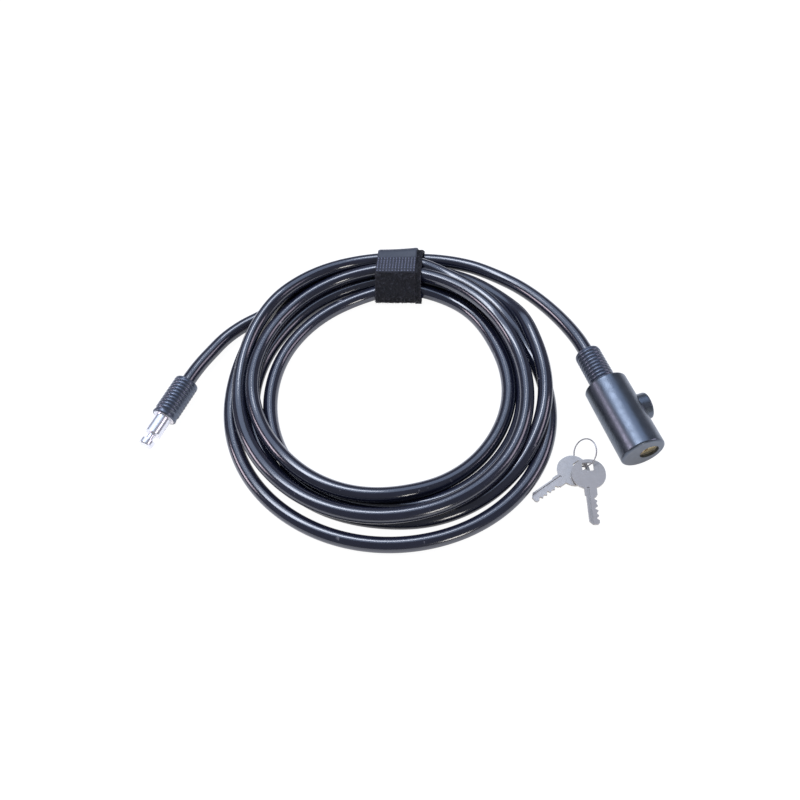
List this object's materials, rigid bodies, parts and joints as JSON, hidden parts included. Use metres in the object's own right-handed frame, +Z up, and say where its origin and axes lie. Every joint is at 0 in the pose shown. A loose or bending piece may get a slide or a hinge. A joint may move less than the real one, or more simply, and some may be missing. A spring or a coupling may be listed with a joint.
{
  "type": "keyed cable lock",
  "caption": "Keyed cable lock: a cylindrical lock head and a chrome plug on a coiled, strapped, vinyl-coated steel cable, with keys on a wire ring.",
  "frame": {"origin": "centre of the plug socket's mouth, on the face of the round boss on the lock head's side", "axes": "+X out of the socket's mouth, +Y along the lock head from its key end to its cable end, +Z up as the lock lies on a table"},
  "size_m": [0.3262, 0.2619, 0.0285],
  "materials": {
    "black_satin": "satin black coating",
    "zinc": "die-cast zinc",
    "steel": "plated steel",
    "brass": "machined",
    "chrome": "polished",
    "nickel": "satin nickel plating",
    "rubber": "satin",
    "vinyl": "gloss",
    "webbing": "woven hook-and-loop tape"
  },
  "bodies": {
    "lock": {"head_sleeve": "black_satin", "head_body": "zinc", "back_plug": "black_satin", "boss_collar": "black_satin", "socket_liner": "steel", "cylinder_shell": "brass", "latch_spring": "steel", "cylinder_pin": "steel", "anchor_pin": "steel", "head_ferrule": "steel", "head_boot": "rubber", "cable_lock_tail": "vinyl", "cable_coil": "vinyl", "cable_plug_tail": "vinyl", "plug_boot": "rubber", "plug_ferrule": "steel", "plug_pin": "chrome", "strap": "webbing"},
    "key_cylinder": {"key_plug": "brass", "wafers": "brass", "plug_clip": "steel", "plug_cam": "steel"},
    "bolt": {"latch_bolt": "steel"},
    "ring": {"key_ring": "steel"},
    "front_key": {"key_front": "nickel"},
    "rear_key": {"key_rear": "nickel"}
  },
  "joints": [
    {"name": "key_turn", "type": "hinge", "parent": "lock", "child": "key_cylinder", "pos_m": [-0.01435, -0.02825, 0], "axis": [0, 1, 0], "range_deg": [0, 90]},
    {"name": "bolt_slide", "type": "slide", "parent": "lock", "child": "bolt", "axis": [0, 0, 1], "range_m": [0, 0.00254], "deforming": ["latch_spring"]},
    {"name": "ring_lift", "type": "slide", "parent": "lock", "child": "ring", "axis": [0, 0, 1], "range_m": [0, 0.03]},
    {"name": "front_key_swing", "type": "hinge", "parent": "ring", "child": "front_key", "pos_m": [-0.0508, -0.0235, -0.00925], "axis": [0, 0, 1], "range_deg": [-8, 30]},
    {"name": "rear_key_swing", "type": "hinge", "parent": "ring", "child": "rear_key", "pos_m": [-0.0537, -0.0208, -0.01275], "axis": [0, 0, 1], "range_deg": [0, 20]}
  ],
  "couplings": [
    {"joint": "key_turn", "follows": "bolt_slide", "rad_per_m": 617.07}
  ]
}
